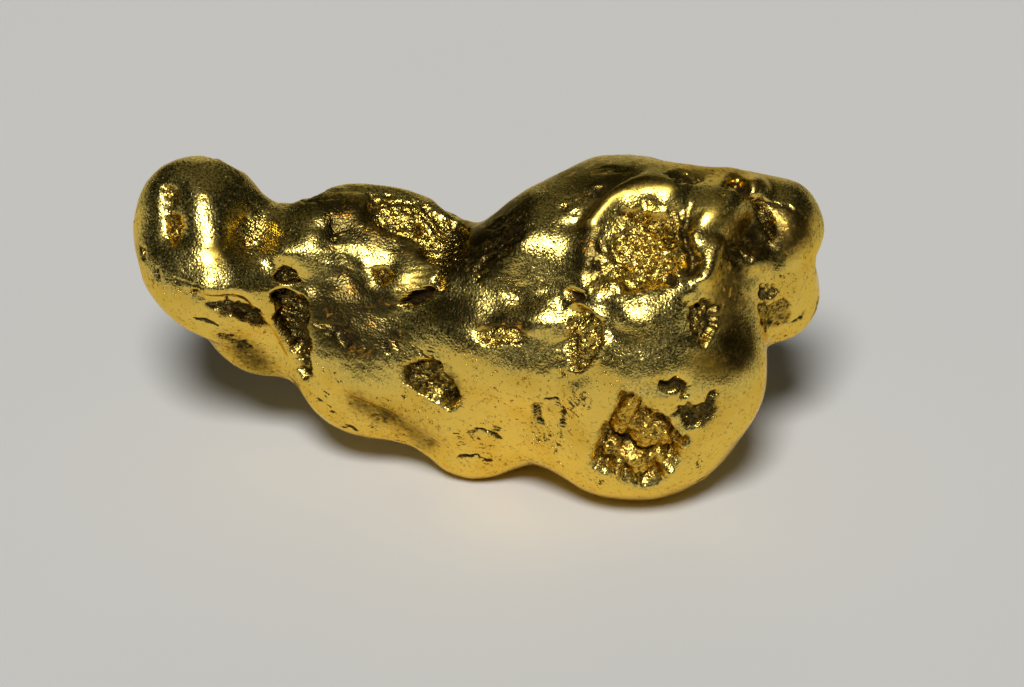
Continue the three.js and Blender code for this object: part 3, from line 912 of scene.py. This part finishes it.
def strewn(seed: int, count: int) -> Marks:
    """Small chance marks over the sides and the back: nicks, short cracks and stains.

    Args:
        seed: the same whole number gives the same marks.
        count: how many there are.

    Returns:
        The marks, each placed from a direction of its own.
    """
    chance = Random(seed)
    marks: list[Mark] = []
    for _ in range(count):
        side = Sight(chance.uniform(70.0, 290.0), chance.uniform(-45.0, 50.0))
        x, y = chance.uniform(-15.0, 15.0), chance.uniform(-6.5, 6.5)
        size, turn, kind = chance.uniform(0.15, 0.45), chance.uniform(0.0, 180.0), chance.random()
        if kind < NICKS_TO:
            nick = oval((x, y), (size, size * chance.uniform(0.4, 0.9)), turn)
            marks.append(Pit(nick, 0.5 * size, side=side, wall=0.12, painted_shade=0.9, grains=0.06))
        elif kind < CRACKS_TO:
            run = [(x, y)]
            for _ in range(3):
                run.append((run[-1][0] + chance.uniform(0.1, 0.6), run[-1][1] + chance.uniform(-0.35, 0.35)))
            marks.append(Crack(tuple(run), side=side, width=0.05, depth=0.1, wander=0.1))
        else:
            marks.append(Swell((x, y), (4.0 * size, 2.5 * size), side=side, turn=turn, grime=0.45))
    return tuple(marks)


class Wear(Region):
    """What chance has left on the sides that the front does not show."""

    DETAILS = strewn(seed=7, count=90)


REGIONS = (Knob, MiddleLump, Boulder, Belly, Back, Ends, Wear)


# ---------------------------------------------------------------------------- the nugget


@dataclass
class Nugget:
    """The nugget itself: one piece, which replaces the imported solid."""

    node: str = "gold_nugget"
    name: str = "nugget_skin"
    slot: str = "gold"
    first_cuts: int = 3
    first_rounds: int = 6  # of relaxing, for the solid's mesh
    rounds: int = 2  # of relaxing, after the forms and after the finer cuts
    least_lift: float = 0.012  # the mesh is cut finer where a mark lifts it by more than this, in mm
    least_share: float = 0.03  # and where it leaves more than this share of its traits
    spare: float = 0.02  # how far the skin may stand past the solid's box, as a share of each side

    def coarse(self) -> bmesh.types.BMesh:
        """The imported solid's mesh with its loose triangles joined and cut finer."""
        made = bmesh.new()
        made.from_mesh(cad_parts[self.node].data)
        bmesh.ops.remove_doubles(made, verts=made.verts, dist=1e-7)
        bmesh.ops.subdivide_edges(made, edges=made.edges, cuts=self.first_cuts, use_grid_fill=True)
        return made

    def read(self, made: bmesh.types.BMesh) -> Skin:
        """A mesh of triangles, in metres, as a skin in mm."""
        points = np.array([vertex.co for vertex in made.verts], float).reshape(-1, 3) / MM
        faces = np.array([[vertex.index for vertex in face.verts] for face in made.faces], int)
        return Skin(points, faces)

    def write(self, made: bmesh.types.BMesh, skin: Skin) -> None:
        """Puts the skin's points back into the mesh."""
        for vertex, place in zip(made.verts, (skin.points * MM).tolist()):
            vertex.co = place

    def apply(self, skin: Skin, marks: list[Mark], lifts: bool = True) -> None:
        """Works marks into the skin.

        Args:
            skin: the skin to change.
            marks: the marks, in any order, because each is placed on the skin as it is now.
            lifts: False where only the marks' traits are wanted.
        """
        height = np.zeros(len(skin.points))
        for mark in marks:
            mark.press(skin, height)
        if lifts:
            skin.lift(height)

    def finer(self, made: bmesh.types.BMesh, marks: list[Mark], skin: Skin) -> None:
        """Cuts the mesh finer where marks are small or rough.

        Args:
            made: the mesh to cut.
            marks: the marks that need the finer mesh.
            skin: the same mesh as arrays.
        """
        wanted = np.zeros(len(skin.points), bool)
        for mark in marks:
            near = mark.near(skin)
            if len(near.index):
                lift, share = mark.shape(near)
                wanted[near.index] |= (np.abs(lift) > self.least_lift) | (share > self.least_share)
        made.verts.ensure_lookup_table()
        chosen = [edge for edge in made.edges if wanted[edge.verts[0].index] and wanted[edge.verts[1].index]]
        bmesh.ops.subdivide_edges(made, edges=chosen, cuts=1, use_grid_fill=True)
        bmesh.ops.triangulate(made, faces=made.faces)

    def grit(self, skin: Skin) -> None:
        """Adds the fine unevenness that the whole nugget has, most of it on top, where it is least worn."""
        upward = skin.normals[:, 2] + 0.12 * ripple(skin.points, 3.0, 30)
        smooth = (1.0 - 0.6 * skin.traits[Trait.GRAIN]) * (1.0 - skin.traits[Trait.RUB])
        skin.leave(Trait.CRINKLE_AND_TOP_TINT, ease(0.0, 0.45, upward) * smooth)
        broad = 0.04 * ripple(skin.points, 2.4, 31)
        hammered = ripple(skin.points, 0.9, 35) * 0.02 + ripple(skin.points, 0.4, 32) * 0.007
        skin.lift(broad + hammered * (0.05 + 0.95 * skin.traits[Trait.CRINKLE_AND_TOP_TINT]))

    def find_hollows(self, skin: Skin) -> None:
        """Finds hollows, where dirt stays and painted bounced light deepens, seams, where painted shade
        darkens, and crests, which are rubbed bright.
        """
        below = skin.below(rounds=30)
        skin.leave(Trait.CAVITY, ease(0.03, 0.25, below))
        skin.leave(Trait.CREST, ease(0.02, 0.12, -below))
        skin.leave(Trait.SEAM, ease(0.004, 0.035, skin.below(rounds=6)))

    def keep_in_box(self, skin: Skin) -> None:
        """Holds the skin within the solid's box, and its feet on the ground."""
        low, high = (np.array(corner) / MM for corner in CAD_BOX)
        spare = (high - low) * self.spare
        skin.points = np.clip(skin.points, low - spare, high + spare)
        skin.points[:, 2] = np.maximum(skin.points[:, 2], 0.0)

    def build(self) -> bpy.types.Object:
        """Makes the skin.

        Returns:
            The finished piece, at the origin, with its traits as mesh attributes.
        """
        forms = [mark for region in REGIONS for mark in region.FORMS]
        details = [mark for region in REGIONS for mark in region.DETAILS]
        made = self.coarse()
        skin = self.read(made)
        skin.relax(self.first_rounds)
        self.apply(skin, forms)
        skin.relax(self.rounds)
        self.write(made, skin)
        self.finer(made, details, skin)
        made.verts.index_update()
        skin = self.read(made)
        skin.relax(self.rounds)
        self.apply(skin, forms, lifts=False)
        self.apply(skin, details)
        self.grit(skin)
        self.find_hollows(skin)
        self.keep_in_box(skin)
        self.write(made, skin)
        mesh = bpy.data.meshes.new(self.name)
        made.to_mesh(mesh)
        made.free()
        for trait, values in skin.traits.items():
            attribute = mesh.attributes.new(trait.value, "FLOAT", "POINT")
            attribute.data.foreach_set("value", values.astype(np.float32))
        mesh.shade_smooth()
        piece = bpy.data.objects.new(self.name, mesh)
        bpy.context.scene.collection.objects.link(piece)
        return piece

    def dress(self, piece: bpy.types.Object, finish: "NativeGold") -> None:
        """Gives the piece its gold and its place in the frame."""
        piece.data.materials.append(finish.material())
        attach(piece, "root")
        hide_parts(self.node)


# ---------------------------------------------------------------------------- materials


class Value:
    """A node socket that can be used in arithmetic. Every operator adds a Math node."""

    def __init__(self, graph: "Graph", socket: bpy.types.NodeSocket) -> None:
        """Wraps an output socket of a graph."""
        self.graph = graph
        self.socket = socket

    def __add__(self, other: Any) -> "Value":
        """self + other"""
        return self.graph.maths("ADD", self, other)

    def __sub__(self, other: Any) -> "Value":
        """self - other"""
        return self.graph.maths("SUBTRACT", self, other)

    def __mul__(self, other: Any) -> "Value":
        """self * other"""
        return self.graph.maths("MULTIPLY", self, other)

    def __rsub__(self, other: Any) -> "Value":
        """other - self"""
        return self.graph.maths("SUBTRACT", other, self)

    __radd__ = __add__
    __rmul__ = __mul__

    def clipped(self) -> "Value":
        """The value held between 0 and 1."""
        return self.graph.maths("ADD", self, 0.0, clamp=True)

    def eased(self, low: float, high: float) -> "Value":
        """A smooth step of the value from 0 at `low` to 1 at `high`."""
        settings = {"interpolation_type": "SMOOTHSTEP"}
        sockets = {"Value": self, "From Min": low, "From Max": high}
        return self.graph.node("ShaderNodeMapRange", settings, sockets, "Result")


class Graph:
    """A material's node tree."""

    def __init__(self, tree: bpy.types.NodeTree) -> None:
        """Empties the tree, so that it holds only what is added here."""
        self.tree = tree
        tree.nodes.clear()

    def node(self, kind: str, settings: dict[str, Any], sockets: dict[Any, Any], output: Any = 0) -> Value:
        """Adds a node.

        Args:
            kind: the node's type.
            settings: its own properties, which are set first.
            sockets: a value or a link for each input that needs one, by name or number.
            output: the name or number of the output to return.

        Returns:
            That output.
        """
        made = self.tree.nodes.new(kind)
        for key, setting in settings.items():
            setattr(made, key, setting)
        for key, value in sockets.items():
            if isinstance(value, Value):
                self.tree.links.new(value.socket, made.inputs[key])
            elif isinstance(value, tuple) and made.inputs[key].type == "RGBA":
                made.inputs[key].default_value = (*value, 1.0)
            else:
                made.inputs[key].default_value = value
        return Value(self, made.outputs[output] if len(made.outputs) else None)

    def maths(self, operation: str, *terms: Any, clamp: bool = False) -> Value:
        """A Math node on values and plain numbers."""
        settings = {"operation": operation, "use_clamp": clamp}
        return self.node("ShaderNodeMath", settings, dict(enumerate(terms)))

    def mix(self, share: Any, first: Any, second: Any) -> Value:
        """A colour that goes from the first to the second as the share goes from 0 to 1."""
        return self.node("ShaderNodeMix", {"data_type": "RGBA"}, {0: share, 6: first, 7: second}, 2)

    def noise(self, where: Value, scale: float, detail: float = 2.0, roughness: float = 0.5) -> Value:
        """Noise from 0 to 1 with so many rises in a metre."""
        sockets = {"Vector": where, "Scale": scale, "Detail": detail, "Roughness": roughness}
        return self.node("ShaderNodeTexNoise", {}, sockets, "Fac")

    def trait(self, trait: Trait) -> Value:
        """A trait that the skin's points carry."""
        return self.node("ShaderNodeAttribute", {"attribute_name": trait.value}, {}, "Fac")

    def place(self) -> Value:
        """Where a point lies on its object."""
        return self.node("ShaderNodeTexCoord", {}, {}, "Object")

    def finish(self, sockets: dict[str, Any]) -> None:
        """Ends the tree in one shader with these values and links."""
        shader = self.node("ShaderNodeBsdfPrincipled", {}, sockets)
        self.node("ShaderNodeOutputMaterial", {}, {"Surface": shader})


@dataclass(frozen=True)
class NativeGold:
    """Native gold: bright where it is rubbed, crinkled above, sparkling in pits, dirty in hollows, with
    painted light and shade.
    """

    bright: Colour = (0.93, 0.645, 0.115)
    deep: Colour = (0.86, 0.55, 0.075)
    pale: Colour = (0.86, 0.70, 0.21)
    bounce_amber: Colour = (0.82, 0.44, 0.035)
    glint_copper: Colour = (0.78, 0.37, 0.05)
    shadow: Colour = (0.12, 0.10, 0.03)
    dirt: Colour = (0.030, 0.017, 0.006)
    painted_shade_colour: Colour = (0.055, 0.034, 0.008)
    edge: Colour = (1.0, 0.86, 0.5)  # the tint of what the metal reflects at a grazing angle
    polished: float = 0.13  # the roughness of clean, smooth gold
    crinkle: float = 0.11  # what crinkled skin adds to it
    cells: float = 8000.0  # how many cells of the crystalline skin lie in a metre
    relief: float = 0.00003  # the height of the bump, in metres

    def material(self) -> bpy.types.Material:
        """Builds the material.

        Returns:
            A new material.
        """
        made = bpy.data.materials.new("native_gold")
        made.use_nodes = True
        graph = Graph(made.node_tree)
        where = graph.place()
        grain, grime, bounce_amber, painted_shade, rub, crinkle_and_top_tint, cavity, seam, crest = map(graph.trait, Trait)
        broad = graph.noise(where, 450.0, 3.0)
        fine = graph.noise(where, 9000.0, 1.0)
        finest = graph.noise(where, 13000.0, 0.0)
        speck = graph.noise(where, 4200.0, 4.0, 0.7)
        patchy = graph.noise(where, 5200.0, 3.0, 0.75)
        wander = graph.noise(where, 700.0, 5.0, 0.65)
        glint = graph.noise(where, 1400.0, 5.0, 0.75).eased(0.57, 0.64)
        cells = graph.node("ShaderNodeTexVoronoi", {}, {"Vector": where, "Scale": self.cells}, "Distance")

        # dirt: patches in the hollows, flecks and hairlines
        patches = (patchy + grime * 0.42 + cavity * 0.08).eased(0.66, 0.74)
        flecks = (speck + broad * 0.2).eased(0.71, 0.76) * (1.0 - crest * 0.7)
        hairs = graph.maths("ABSOLUTE", wander - 0.5).eased(0.02, 0.007) * patchy.eased(0.5, 0.6)
        dirt = graph.maths("MAXIMUM", patches, graph.maths("MAXIMUM", flecks, hairs * 0.6))

        # the metal: deeper in places, with painted light and shade on it as marked below
        gold = graph.mix(broad.eased(0.4, 0.68), self.bright, self.deep)
        # painted light: a paler tint on crinkled skin that faces up, for how the top reflects
        gold = graph.mix(crinkle_and_top_tint * 0.7, gold, self.pale)
        # painted light: red-gold of light bounced from wall to wall in pits, deeper in hollows
        gold = graph.mix((bounce_amber * (0.45 + cavity * 0.5)).clipped(), gold, self.bounce_amber)
        # painted shade: dark where marks left it, standing in for shade and dark reflections; lifted in glint
        # spots
        between = painted_shade * (1.0 - glint * 0.65)
        # painted shade in the seams between grains and lumps
        seam_shade = seam * (grain * 0.4 + bounce_amber * 0.45)
        painted_darkness = (between * 0.9 + seam_shade + speck * 1.1 - 0.5).eased(0.0, 1.05)
        gold = graph.mix(painted_darkness * 0.94, gold, self.painted_shade_colour)
        # painted glints: copper-red spots in the painted shade
        gold = graph.mix((painted_shade * glint * 0.8).clipped(), gold, self.glint_copper)
        # painted shade: darker in the low spots of the fine bump on crinkled and grainy skin
        shade = fine.eased(0.55, 0.38) * (crinkle_and_top_tint * 0.75 + grain * 0.65)
        colour = graph.mix(dirt * 0.94, graph.mix(shade, gold, self.shadow), self.dirt)

        worn = rub * 0.14 + between * (1.0 - grain) * 0.05 + bounce_amber * 0.06
        rough = worn + self.polished + crinkle_and_top_tint * self.crinkle + grain * 0.04 + fine * 0.06 + dirt * 0.35
        height = fine * (0.03 + crinkle_and_top_tint * 0.75 + grain * 1.6) + finest * (0.02 + crinkle_and_top_tint * 0.1 + grain * 0.2)
        height = height + cells * (grain * 0.6 + crinkle_and_top_tint * 0.25) - flecks * 0.6
        bump = {"Height": height, "Strength": 1.0, "Distance": self.relief}
        graph.finish({
            "Base Color": colour,
            "Roughness": rough,
            "Metallic": 1.0 - dirt * 0.25,
            "Specular Tint": self.edge,
            "Normal": graph.node("ShaderNodeBump", {}, bump, "Normal"),
        })
        return made


# ---------------------------------------------------------------------------- the studio


@dataclass(frozen=True)
class Lamp:
    """A soft light, so far off that it lights the whole floor evenly. `spread` is its width in degrees."""

    name: str
    azimuth: float
    elevation: float
    spread: float
    strength: float
    tint: Colour = (1.0, 1.0, 1.0)


@dataclass
class Studio:
    """A pale floor, soft lights and a camera."""

    view: Sight
    lens: float = 180.0
    clip: Pair = (0.01, 10.0)
    floor_radius: float = 1.6
    floor_tone: Colour = (0.78, 0.77, 0.74)
    floor_worn: float = 0.97  # how dark the floor's patches are, beside the rest of it
    floor_patches: float = 40.0  # how many of them lie in a metre
    wall_tone: Colour = (0.70, 0.70, 0.69)
    dark_tone: Colour = (0.008, 0.009, 0.008)
    lamps: tuple[Lamp, ...] = (
        Lamp("key", -6.0, 52.0, 17.0, 2.7),
        Lamp("haze", 178.0, 62.0, 70.0, 0.07, (1.0, 0.9, 0.6)),
        Lamp("window", 180.0, 12.0, 30.0, 0.12),
    )

    def floor(self) -> bpy.types.Object:
        """A pale matt disc under the nugget's feet."""
        made = bmesh.new()
        bmesh.ops.create_circle(made, cap_ends=True, segments=128, radius=self.floor_radius)
        mesh = bpy.data.meshes.new("floor")
        made.to_mesh(mesh)
        made.free()
        material = bpy.data.materials.new("floor_paint")
        material.use_nodes = True
        graph = Graph(material.node_tree)
        patches = graph.noise(graph.place(), self.floor_patches)
        worn = tuple(self.floor_worn * part for part in self.floor_tone)
        graph.finish({"Base Color": graph.mix(patches, self.floor_tone, worn), "Roughness": 0.9})
        mesh.materials.append(material)
        floor = bpy.data.objects.new("floor", mesh)
        bpy.context.scene.collection.objects.link(floor)
        return floor

    def place(self, thing: bpy.types.Object, azimuth: float, elevation: float, away: float) -> None:
        """Puts a lamp or a camera so many metres from the middle of the view, facing it."""
        back = Vector(Sight(azimuth, elevation).axes()[2].tolist())
        thing.location = Vector(self.view.middle) * MM + back * away
        thing.rotation_mode = "QUATERNION"
        thing.rotation_quaternion = back.to_track_quat("Z", "Y")
        bpy.context.scene.collection.objects.link(thing)

    def light(self, lamp: Lamp) -> None:
        """Hangs one lamp."""
        data = bpy.data.lights.new(lamp.name, "SUN")
        data.angle = math.radians(lamp.spread)
        data.energy = lamp.strength
        data.color = lamp.tint
        self.place(bpy.data.objects.new(lamp.name, data), lamp.azimuth, lamp.elevation, 1.0)

    def surroundings(self) -> None:
        """Pale walls behind the floor, and a dark ceiling for the gold to reflect."""
        world = bpy.data.worlds.new("studio")
        world.use_nodes = True
        graph = Graph(world.node_tree)
        seen = graph.node("ShaderNodeLightPath", {}, {}, "Is Camera Ray")
        tone = graph.mix(seen, self.dark_tone, self.wall_tone)
        shader = graph.node("ShaderNodeBackground", {}, {"Color": tone, "Strength": 1.0})
        graph.node("ShaderNodeOutputWorld", {}, {"Surface": shader})
        bpy.context.scene.world = world

    def camera(self) -> None:
        """The camera, which looks at the nugget's front."""
        data = bpy.data.cameras.new("camera")
        data.lens = self.lens
        data.clip_start, data.clip_end = self.clip
        eye = bpy.data.objects.new("camera", data)
        self.place(eye, self.view.azimuth, self.view.elevation, self.view.away * MM)
        bpy.context.scene.camera = eye

    def build(self) -> None:
        """Sets the whole studio up."""
        self.floor()
        self.surroundings()
        for lamp in self.lamps:
            self.light(lamp)
        self.camera()
        bpy.context.scene.view_settings.view_transform = "Standard"


# ---------------------------------------------------------------------------- main


def main() -> None:
    """Builds the nugget and the studio."""
    logging.basicConfig(level=logging.INFO, format="%(name)s: %(message)s")
    Studio(view=Side.FRONT.value).build()
    nugget = Nugget()
    piece = nugget.build()
    nugget.dress(piece, NativeGold())
    LOG.info("%s: %d points, %d faces", piece.name, len(piece.data.vertices), len(piece.data.polygons))


if __name__ == "__main__":
    main()
